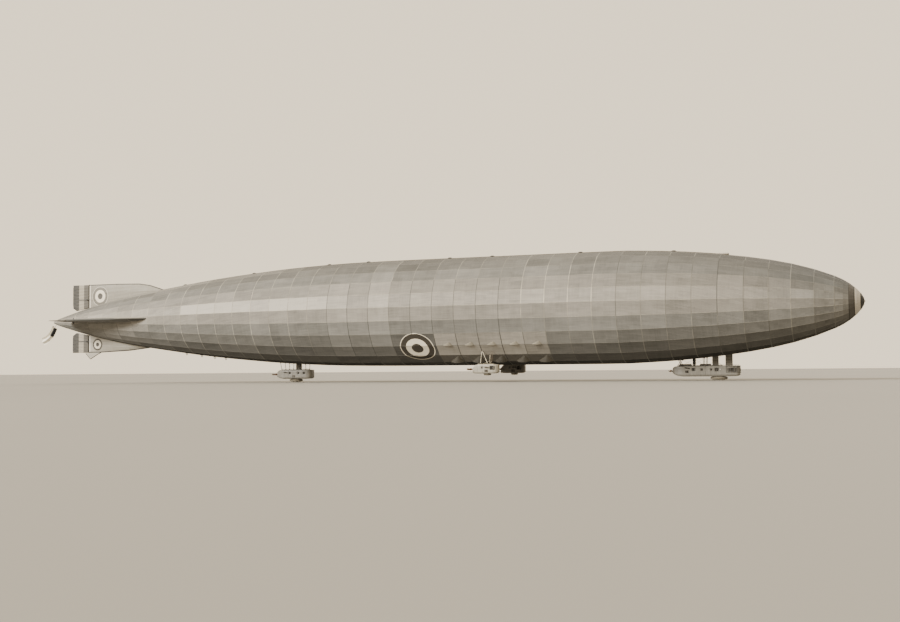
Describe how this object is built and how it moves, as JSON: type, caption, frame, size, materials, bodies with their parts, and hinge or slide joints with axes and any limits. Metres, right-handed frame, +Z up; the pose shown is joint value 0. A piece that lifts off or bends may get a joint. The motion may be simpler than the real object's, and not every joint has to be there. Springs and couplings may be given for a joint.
{
  "type": "rigid airship, 1:10 scale model",
  "caption": "Long streamlined rigid airship with faceted fabric hull, cross tail with hinged rudders and elevators, and engine cars slung below on struts with propellers.",
  "frame": {"origin": "on the hull's long axis at half its length, where the air holds it up", "axes": "+X along the hull towards the bow, +Y to port, +Z up"},
  "size_m": [19.568, 2.44, 2.7753],
  "materials": {
    "envelope": "doped and weathered fabric",
    "dark_envelope": "dark doped fabric",
    "control_surface": "doped fabric over ribs, with plain stripes",
    "car_shell": "painted sheet, matt",
    "canvas": "heavy canvas",
    "strut": "painted tube",
    "engine": "oily casting",
    "propeller": "varnished laminated wood"
  },
  "bodies": {
    "airframe": {"aft_car_floor": "car_shell", "aft_car_roof": "car_shell", "aft_car_side_port": "car_shell", "aft_car_side_starboard": "car_shell", "bag_aft": "canvas", "bag_forward": "canvas", "bag_port": "canvas", "bag_starboard": "canvas", "bow_cap": "dark_envelope", "control_cabin_floor": "car_shell", "control_cabin_roof": "car_shell", "control_cabin_side_port": "car_shell", "control_cabin_side_starboard": "car_shell", "engine_aft_port": "engine", "engine_aft_starboard": "engine", "engine_forward": "engine", "engine_port": "engine", "engine_room_floor": "car_shell", "engine_room_roof": "car_shell", "engine_room_side_port": "car_shell", "engine_room_side_starboard": "car_shell", "engine_starboard": "engine", "fin_lower": "envelope", "fin_port": "envelope", "fin_starboard": "envelope", "fin_upper": "envelope", "hull_aft": "envelope", "hull_bow": "envelope", "hull_fore": "envelope", "hull_middle": "envelope", "hull_stern": "envelope", "hull_tail": "envelope", "ridge_walkway_aft": "canvas", "ridge_walkway_fore": "canvas", "struts_aft": "strut", "struts_forward": "strut", "struts_port": "strut", "struts_starboard": "strut", "tail_cone": "envelope", "trunk_aft": "canvas", "trunk_fore": "canvas", "trunk_middle": "canvas", "wing_car_port_floor": "car_shell", "wing_car_port_roof": "car_shell", "wing_car_port_side_port": "car_shell", "wing_car_port_side_starboard": "car_shell", "wing_car_starboard_floor": "car_shell", "wing_car_starboard_roof": "car_shell", "wing_car_starboard_side_port": "car_shell", "wing_car_starboard_side_starboard": "car_shell"},
    "rudder_upper": {"rudder_upper": "control_surface"},
    "rudder_lower": {"rudder_lower": "control_surface"},
    "elevator_starboard": {"elevator_starboard": "control_surface"},
    "elevator_port": {"elevator_port": "control_surface"},
    "propeller_forward": {"propeller_forward": "propeller"},
    "propeller_starboard": {"propeller_starboard": "propeller"},
    "propeller_port": {"propeller_port": "propeller"},
    "propeller_aft": {"propeller_aft": "propeller"}
  },
  "joints": [
    {"name": "rudder_upper_hinge", "type": "hinge", "parent": "airframe", "child": "rudder_upper", "pos_m": [-8.7, 0, 0.6], "axis": [0, 0, 1], "range_deg": [-25, 25]},
    {"name": "rudder_lower_hinge", "type": "hinge", "parent": "airframe", "child": "rudder_lower", "pos_m": [-8.7, 0, -0.55], "axis": [0, 0, 1], "range_deg": [-25, 25]},
    {"name": "elevator_starboard_hinge", "type": "hinge", "parent": "airframe", "child": "elevator_starboard", "pos_m": [-8.7, -0.6, 0], "axis": [0, 1, 0], "range_deg": [-20, 20]},
    {"name": "elevator_port_hinge", "type": "hinge", "parent": "airframe", "child": "elevator_port", "pos_m": [-8.7, 0.6, 0], "axis": [0, 1, 0], "range_deg": [-20, 20]},
    {"name": "propeller_forward_spin", "type": "hinge", "parent": "airframe", "child": "propeller_forward", "pos_m": [5.944, 0, -1.352], "axis": [1, 0, 0], "continuous": true},
    {"name": "propeller_starboard_spin", "type": "hinge", "parent": "airframe", "child": "propeller_starboard", "pos_m": [1.868, -0.97, -1.285], "axis": [1, 0, 0], "continuous": true},
    {"name": "propeller_port_spin", "type": "hinge", "parent": "airframe", "child": "propeller_port", "pos_m": [1.868, 0.97, -1.285], "axis": [1, 0, 0], "continuous": true},
    {"name": "propeller_aft_spin", "type": "hinge", "parent": "airframe", "child": "propeller_aft", "pos_m": [-3.356, 0, -1.367], "axis": [1, 0, 0], "continuous": true}
  ],
  "couplings": [
    {"joint": "rudder_lower_hinge", "follows": "rudder_upper_hinge", "ratio": 1},
    {"joint": "elevator_port_hinge", "follows": "elevator_starboard_hinge", "ratio": 1}
  ]
}
